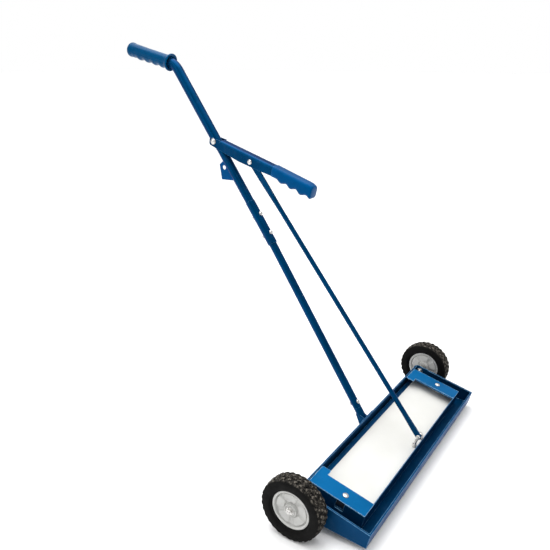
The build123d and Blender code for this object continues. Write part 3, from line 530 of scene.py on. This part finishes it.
def tyre(sign, body):
    matrix = wheel_matrix(sign)
    piece = Piece()
    profile = [(-RIM_HALF, HUB_R), (-RIM_HALF - 1.6, HUB_R + 0.6), (-RIM_HALF - 2.4, HUB_R + 2.4)]
    profile += [(-RIM_HALF - 3.4, HUB_R + 4.2), (-RIM_HALF - 4.9, HUB_R + 5.6)]
    for i in range(9):
        t = i / 8
        bulge = math.sin(math.pi * (0.18 + 0.62 * t))
        profile.append((-TYRE_HALF + 0.15 + 2.6 * (1 - bulge), 58.5 + 18.5 * t))
    profile += [(-TYRE_HALF + 2.6, 78.0), (-TYRE_HALF + 4.4, 79.0)]
    profile += [(-12.0, 79.2), (-4.0, 79.5)]
    profile += [(-x, r) for x, r in reversed(profile)]
    piece.add(turned_rings(profile, 144), matrix, closed=True)
    for row_x, stagger, width in TREAD_ROWS:
        for i in range(KNOBS):
            angle = TAU * (i + stagger) / KNOBS
            wobble = rng.uniform(-0.4, 0.4)
            length = 10.4 + wobble
            rings = tread_block(row_x, angle, width + wobble * 0.5, length)
            piece.add(rings, matrix, cap_last=True)
    for ring_r, lift in ((60.5, 0.35), (70.5, 0.3)):
        for side_sign in (-1, 1):
            bead = []
            for height, offset in ((0.0, -1.0), (lift, -0.4), (lift, 0.4), (0.0, 1.0)):
                radius = ring_r + offset
                t = (radius - 58.5) / 18.5
                bulge = math.sin(math.pi * (0.18 + 0.62 * t))
                edge = TYRE_HALF - 0.15 - 2.6 * (1 - bulge)
                bead.append((side_sign * (edge - 0.2 + height), radius))
            piece.add(turned_rings(bead, 144), matrix)
    return piece.make("tyre_tread_" + body[6:], RUBBER, body, "tyre_rubber", replaces=("tyre_" + body[6:],))


def hub_face(r, angle):
    """Height of the hub's outer face: flat lip, five broad raised webs, boss with a ring groove."""
    lip = smooth_step(r, 43.5, 46.5)
    dish = 8.4 + 1.4 * smooth_step(r, 26.0, 40.0)
    web = smooth_step(math.cos(5 * angle), -0.92, -0.30)
    inside = smooth_step(r, 18.5, 22.0) * (1 - smooth_step(r, 40.5, 43.5))
    height = dish + 4.0 * web * inside - 1.6 * (1 - inside) * smooth_step(r, 30.0, 43.0) * (1 - lip)
    height += (RIM_HALF - height) * lip
    boss = 1 - smooth_step(r, 15.4, 18.0)
    height += (HUB_HALF - height) * boss
    groove = smooth_step(r, 11.6, 12.4) * (1 - smooth_step(r, 14.0, 14.8))
    return height - 2.6 * groove


def hub(sign, body):
    matrix = wheel_matrix(sign)
    radii = [BUSH_R + 0.02, 10.6, 11.4, 11.9, 12.4, 13.2, 14.0, 14.4, 14.9, 15.6]
    radii += [16.4, 17.2, 18.0, 19.0, 20.2, 21.4, 23.0]
    radii += [26.0, 29.0, 32.0, 35.0, 37.5, 39.5, 41.0, 42.2, 43.3, 44.2, 45.0, 45.8, 46.5, 48.0, 49.8, 50.6]
    rings = []
    for radius in radii:
        ring = []
        for i in range(140):
            angle = TAU * i / 140
            height = hub_face(radius, angle)
            ring.append(Vector((radius * math.cos(angle), radius * math.sin(angle), height)))
        rings.append(ring)
    rings += turned_rings([(RIM_HALF - 0.5, HUB_R), (-RIM_HALF + 0.5, HUB_R)], 140)
    for radius in reversed(radii):
        ring = []
        for i in range(140):
            angle = TAU * i / 140
            height = -hub_face(radius, angle)
            ring.append(Vector((radius * math.cos(angle), radius * math.sin(angle), height)))
        rings.append(ring)
    piece = Piece().add(rings, matrix, closed=True)
    return piece.make("hub_web_" + body[6:], HUB, body, "hub_plastic", replaces=("wheel_hub_" + body[6:],))


for wheel_sign, wheel_body in ((-1, "wheel_left"), (1, "wheel_right")):
    tyre(wheel_sign, wheel_body)
    hub(wheel_sign, wheel_body)


# ---------------------------------------------------------------- grips

GRIP_AXIS_Z = 801.9
GRIP_FROM = 928.0
GRIP_TO = 1100.0
TUBE_R = 15.0


def handle_grip():
    """Moulded hand grip: cupped flange, finger waves underneath, a flat facet each side, rounded end."""
    matrix = frame_along(tray(0, 0, GRIP_AXIS_Z), tray_dir(0, 1, 0), tray_dir(0, 0, 1))
    length = GRIP_TO - GRIP_FROM
    outline = [(9.0, TUBE_R + 0.6, 0), (3.0, 17.4, 0), (0.6, 22.6, 0), (0.0, 24.6, 0)]
    outline += [(0.6, 25.6, 0), (2.2, 26.0, 0)]
    outline += [(4.6, 25.8, 0), (6.4, 24.6, 0), (8.2, 22.2, 0), (10.4, 20.6, 0), (14.0, 19.6, 0.2)]
    body_steps = 64
    for i in range(1, body_steps + 1):
        t = i / body_steps
        s = 14.0 + t * (length - 34.0)
        radius = 19.3 + 0.9 * smooth_step(t, 0.5, 1.0)
        outline.append((s, radius, smooth_step(t, 0.0, 0.1) * (1 - smooth_step(t, 0.92, 1.0))))
    tip = ((16.0, 20.9), (12.0, 21.7), (8.0, 21.8), (4.6, 21.2), (2.2, 19.6), (0.6, 16.6))
    dimple = ((0.0, 13.0), (0.0, 8.4), (0.6, 6.8), (1.6, 6.2), (5.0, 6.0))
    outline += [(length - short, radius, 0) for short, radius in tip + dimple]
    steps = 96
    rings = []
    for s, radius, hand in outline:
        ring = []
        for i in range(steps):
            angle = TAU * i / steps
            up = math.cos(angle)
            across = math.sin(angle)
            wave = 0.5 - 0.5 * math.cos(TAU * (s - 14.0) / 31.0)
            under = max(0.0, -up) ** 1.6
            r = radius + hand * under * (3.6 * wave - 0.4)
            facet = hand * 0.9 * smooth_step(abs(across), 0.72, 0.98) * (1 if up > -0.3 else 0)
            r -= facet
            ring.append(Vector((r * up, r * across, GRIP_FROM + s)))
        rings.append(ring)
    piece = Piece().add(rings, matrix, cap_last=True)
    made = piece.make("grip_moulding", GRIP, "chassis", "grip_plastic", replaces=("handle_grip",))
    sharpen(made, 60.0)
    return made


GRIP_WAVES = ((359.7, 570.9), (376.0, 578.0), (393.5, 573.4), (411.0, 583.0), (428.2, 578.3), (445.0, 586.5))
GRIP_WAVES += ((461.2, 582.5), (480.0, 590.5), (497.0, 594.3))


def wave_height(y):
    """The underside of the lever grip, rounded between its crests and hollows."""
    for (y0, z0), (y1, z1) in zip(GRIP_WAVES, GRIP_WAVES[1:]):
        if y <= y1:
            t = (y - y0) / (y1 - y0)
            return z0 + (z1 - z0) * (0.5 - 0.5 * math.cos(math.pi * min(1.0, max(0.0, t))))
    return GRIP_WAVES[-1][1]


def rounded_section(half, low, high, corner_low, corner_high, steps=8):
    """A rounded box as points (x, z), counted round from the lower right corner."""
    points = []
    corners = ((half, low, corner_low, -90), (half, high, corner_high, 0), (-half, high, corner_high, 90))
    corners += ((-half, low, corner_low, 180),)
    for x, z, radius, start in corners:
        cx = x - math.copysign(radius, x)
        cz = z + radius if z == low else z - radius
        for i in range(steps + 1):
            angle = math.radians(start + 90 * i / steps)
            points.append((cx + radius * math.cos(angle), cz + radius * math.sin(angle)))
    return points


def lever_grip():
    """Moulded squeeze grip: finger waves below, rounded corners, open at the lever's end."""
    rings = []
    near, far = GRIP_WAVES[0][0], GRIP_WAVES[-1][0]
    stations = [(near + 0.0, 5.0), (near + 0.7, 2.6), (near + 2.4, 0.8), (near + 5.0, 0.0)]
    stations += [(near + 5.0 + (far - near - 7.0) * i / 70, 0.0) for i in range(1, 71)]
    stations += [(far - 0.9, 0.3), (far, 1.1)]
    for y, pull in stations:
        low = wave_height(y) + pull
        high = 612.0 + (y - 366.0) * 0.0885 - pull
        high -= 3.0 * (1 - smooth_step(y, near, near + 16.0))
        half = 20.0 - pull - 1.2 * (1 - smooth_step(y, near, near + 30.0))
        section = rounded_section(half, low, high, 9.0 - pull * 0.4, 12.0 - pull * 0.4)
        rings.append([Vector((x, y, z)) for x, z in section])
    inner = []
    for x, z in rounded_section(17.1, 593.0, 622.8, 2.0, 9.0):
        inner.append(Vector((x, far, z)))
    deep = [Vector((p.x, far - 24.0, p.z - 2.0)) for p in inner]
    rings += [inner, deep]
    piece = Piece().add(rings, TRAY @ Matrix.Scale(MM, 4), cap_first=True, cap_last=True)
    made = piece.make("lever_moulding", LEVER_GRIP, "lever", "grip_plastic", replaces=("lever_grip",))
    sharpen(made, 55.0)
    return made


handle_grip()
lever_grip()


# ---------------------------------------------------------------- hardware

CHEEK = 16.8
FOOT = (49.2, 17.3)
JOINT = (FOOT[0] + 564.7 * math.sin(LOW_LEAN), FOOT[1] + 564.7 * math.cos(LOW_LEAN))
BOLT_SEATS = (
    (FOOT, LOW_LEAN, 24.5, 11.7),
    (JOINT, HIGH_LEAN, 20.4, 14.3),
    (JOINT, HIGH_LEAN, 83.3, 14.3),
)


def cross_hardware():
    """Round heads in front of the tube and nuts behind it, at the socket and the sleeve."""
    heads = Piece()
    nuts = Piece()
    for (y, z), lean, distance, radius in BOLT_SEATS:
        y += distance * math.sin(lean)
        z += distance * math.cos(lean)
        ahead = tray_dir(0, -math.cos(lean), math.sin(lean))
        seat = tray(0, y, z)
        front = frame_along(seat + ahead * radius * MM, ahead)
        back = frame_along(seat - ahead * radius * MM, -ahead)
        heads.add(washer(6.9, 3.1, 0.9), front, closed=True)
        heads.add(lifted(dome_head(5.8, 3.5), 0.9), front, cap_last=True)
        heads.add(thread(3.0, 6.4, 1.0), back, cap_last=True)
        nuts.add(hex_head(10.6, 4.9, 3.05), back, closed=True)
    heads.make("tube_bolt_heads", ZINC, "chassis", "zinc", replaces=("tube_bolts",))
    nuts.make("tube_bolt_nuts", ZINC, "chassis", "zinc", replaces=("tube_nuts",))


def plate_hardware():
    """A domed head and a nut for each end plate."""
    heads = Piece()
    for x in (-325.0, 325.0):
        up = frame_along(tray(x, -81.0, 17.3), tray_dir(0, 0, 1))
        heads.add(dome_head(8.0, 3.95), up, cap_last=True)
        under = frame_along(tray(x, -81.0, 15.3), tray_dir(0, 0, -1))
        heads.add(thread(3.0, 6.8, 1.0), under, cap_last=True)
    heads.make("plate_bolt_heads", ZINC, "chassis", "zinc", replaces=("plate_bolts",))
    nuts = Piece()
    for x in (-325.0, 325.0):
        under = frame_along(tray(x, -81.0, 15.3), tray_dir(0, 0, -1))
        nuts.add(hex_head(10.0, 5.0, 3.05), under, closed=True)
    nuts.make("plate_bolt_nuts", BUSH, "chassis", "zinc", replaces=("plate_nuts",))


def axle_hardware():
    """Axle ends: a rounded nut outside each hub and a hexagon nut inside each ear."""
    ends = Piece()
    inner = Piece()
    rims = Piece()
    for sign in (-1, 1):
        outward = (sign, 0, 0)
        face = frame_along(Vector((sign * 449.5 * MM, AXLE.y, AXLE.z)), outward, (0, 0, 1))
        ends.add(hex_head(14.0, 5.4), face, cap_last=True)
        tip = frame_along(Vector((sign * 454.7 * MM, AXLE.y, AXLE.z)), outward, (0, 0, 1))
        ends.add(dome_head(4.6, 3.2), tip, cap_last=True)
        shank = frame_along(Vector((sign * 386.0 * MM, AXLE.y, AXLE.z)), (-sign, 0, 0))
        ends.add(thread(6.0, 12.0, 1.5), shank, cap_last=True)
        stem = frame_along(Vector((sign * 386.0 * MM, AXLE.y, AXLE.z)), outward)
        ends.add(turned_rings([(0.0, 6.0), (63.5, 6.0)]), stem)
        inner.add(hex_head(18.5, 9.3, 6.05), shank, closed=True)
        ear = frame_along(Vector((sign * 388.0 * MM, AXLE.y, AXLE.z)), outward)
        rims.add(washer(14.0, 6.05, 2.0), ear, closed=True)
        cap = frame_along(Vector((sign * 448.0 * MM, AXLE.y, AXLE.z)), outward)
        rims.add(washer(9.6, 6.05, 1.5), cap, closed=True)
    ends.make("axle_ends", ZINC, "chassis", "zinc", replaces=("axle_bolts",))
    inner.make("axle_inner_nuts", ZINC, "chassis", "zinc", replaces=("axle_nuts",))
    rims.make("axle_rings", ZINC, "chassis", "zinc", replaces=("axle_washers",))


def pin_hardware(name, centre, left_x, right_x, head, nut, body, cad_bolt, cad_nut, ring=0.0, tall=4.4):
    """A bolt across the width: rounded head on the left, chamfered nut and thread on the right."""
    left = frame_along(tray(left_x, centre.y, centre.z), (-1, 0, 0))
    right = frame_along(tray(right_x, centre.y, centre.z), (1, 0, 0))
    bolt = Piece()
    if ring:
        bolt.add(washer(ring, 4.05, 1.6), left, closed=True)
    lift = 1.6 if ring else 0.0
    bolt.add(lifted(dome_head(head, tall), lift), left, cap_last=True)
    middle = frame_along(tray(left_x, centre.y, centre.z), (1, 0, 0))
    bolt.add(turned_rings([(0.0, 4.0), (right_x - left_x, 4.0)]), middle)
    bolt.add(thread(4.0, 7.8 + lift), right, cap_last=True)
    bolt.make(name + "_bolt_body", ZINC, body, "zinc", replaces=(cad_bolt,))
    fixing = Piece()
    if ring:
        fixing.add(washer(ring, 4.05, 1.6), right, closed=True)
    fixing.add(lifted(hex_head(nut, 6.0, 4.05), lift), right, closed=True)
    fixing.make(name + "_nut_body", ZINC, body, "zinc", replaces=(cad_nut,))


def eye_hardware():
    """Forged eye: a round ring on a threaded shank, with its nuts and washer."""
    piece = Piece()
    ring_matrix = TRAY @ Matrix.Scale(MM, 4)
    rings = []
    for i in range(56):
        angle = TAU * i / 56
        outward = Vector((0.0, math.cos(angle), math.sin(angle)))
        ring = []
        for j in range(20):
            turn = TAU * j / 20
            ring.append(EYE + outward * (9.25 + 2.2 * math.cos(turn)) + Vector((3.2 * math.sin(turn), 0, 0)))
        rings.append(ring)
    piece.add(rings, ring_matrix, closed=True)
    neck = []
    for t in range(13):
        s = t / 12
        y = EYE.y + 1.0 + (SHANK_Y - EYE.y - 1.0) * smooth_step(s, 0.0, 1.0)
        z = EYE.z - 8.6 - (EYE.z - 8.6 - 8.8) * s
        half = 3.2 + 0.8 * s
        turns = [TAU * j / 24 for j in range(24)]
        neck.append([Vector((EYE.x + half * math.cos(a), y + half * math.sin(a), z)) for a in turns])
    piece.add(neck, ring_matrix)
    shank = frame_along(tray(EYE.x, SHANK_Y, 9.0), tray_dir(0, 0, -1))
    piece.add(thread(4.0, 34.9), shank, cap_last=True)
    piece.make("eye_forging", ZINC, "carrier", "zinc", replaces=("eye_bolt",))
    nuts = Piece()
    above = frame_along(tray(EYE.x, SHANK_Y, -10.4), tray_dir(0, 0, 1))
    below = frame_along(tray(EYE.x, SHANK_Y, -18.0), tray_dir(0, 0, -1))
    nuts.add(hex_head(13.0, 6.0, 4.05), above, closed=True)
    nuts.add(hex_head(10.0, 6.0, 4.05), below, closed=True)
    nuts.make("eye_nut_pair", ZINC, "carrier", "zinc", replaces=("eye_nuts",))
    seat = frame_along(tray(EYE.x, SHANK_Y, -12.0), tray_dir(0, 0, 1))
    ring = Piece().add(washer(8.0, 4.05, 1.6), seat, closed=True)
    ring.make("eye_ring_washer", ZINC, "carrier", "zinc", replaces=("eye_washer",))


cross_hardware()
plate_hardware()
axle_hardware()
RING_X = CHEEK + 0.3
pin_hardware("lever", PIVOT, -RING_X, RING_X, 7.5, 13.0, "chassis", "lever_bolt", "lever_nut", ring=9.0)
pin_hardware("rod", ROD_PIN, -CHEEK, CHEEK, 7.5, 13.0, "lever", "rod_bolt", "rod_nut")
pin_hardware("eye", EYE_PIN, 9.0, 22.1, 6.5, 13.0, "rod", "eye_pin", "eye_pin_nut", tall=3.4)
eye_hardware()


# ---------------------------------------------------------------- floor, light and camera


FLOOR_HALF = 60.0
FLOOR_DROP = 0.0005


def floor():
    """A wide pale sheet just under the tyres."""
    signs = ((-1, -1), (1, -1), (1, 1), (-1, 1))
    corners = [Vector((x * FLOOR_HALF, y * FLOOR_HALF, -FLOOR_DROP)) for x, y in signs]
    made = mesh_object("floor", corners, [(0, 1, 2, 3)], floor_paint("floor_paint"))


def area_light(name, place, target, size, power, colour=(1.0, 1.0, 1.0)):
    data = bpy.data.lights.new(name, "AREA")
    data.shape = "RECTANGLE"
    data.size, data.size_y = size
    data.energy = power
    data.color = colour
    lamp = bpy.data.objects.new(name, data)
    lamp.location = place
    lamp.rotation_euler = (Vector(target) - Vector(place)).to_track_quat("-Z", "Y").to_euler()
    bpy.context.scene.collection.objects.link(lamp)


def studio():
    area_light("top_box", (0.1, 0.3, 2.9), (0.0, -0.05, 0.0), (2.2, 2.2), 40.0)
    area_light("left_box", (-2.4, 0.9, 1.9), (0.0, 0.0, 0.5), (1.2, 2.0), 14.0)
    area_light("back_box", (1.6, 2.2, 2.0), (0.0, 0.0, 0.5), (1.6, 1.8), 14.0)
    world = bpy.data.worlds.new("studio")
    world.use_nodes = True
    tree = world.node_tree
    background = tree.nodes["Background"]
    background.inputs["Color"].default_value = (1.0, 1.0, 1.0, 1.0)
    where = add_node(tree, "TexCoord").outputs["Generated"]
    height = add_node(tree, "SeparateXYZ", {"Vector": where}).outputs["Z"]
    low = remap(tree, height, 0.12, 0.30, 1.0, 0.35)
    high = remap(tree, height, 0.50, 0.90, 0.0, 1.9)
    tree.links.new(math_of(tree, "ADD", low, high), background.inputs["Strength"])
    bpy.context.scene.world = world
    bpy.context.scene.view_settings.view_transform = "Standard"


IMAGE = 550
FOCAL_PX = 609.1
AZIMUTH = math.radians(-56.32)
ELEVATION = math.radians(19.29)
CAMERA_FROM_AXLE = Vector((-1.4417, -0.6197, 0.9987))


def camera():
    data = bpy.data.cameras.new("camera")
    data.sensor_width = 36.0
    data.lens = FOCAL_PX / IMAGE * data.sensor_width
    level = math.cos(ELEVATION)
    back = Vector((math.sin(AZIMUTH) * level, -math.cos(AZIMUTH) * level, math.sin(ELEVATION)))
    made = bpy.data.objects.new("camera", data)
    made.location = AXLE + CAMERA_FROM_AXLE
    made.rotation_euler = (-back).to_track_quat("-Z", "Y").to_euler()
    bpy.context.scene.collection.objects.link(made)
    bpy.context.scene.camera = made


floor()
studio()
camera()
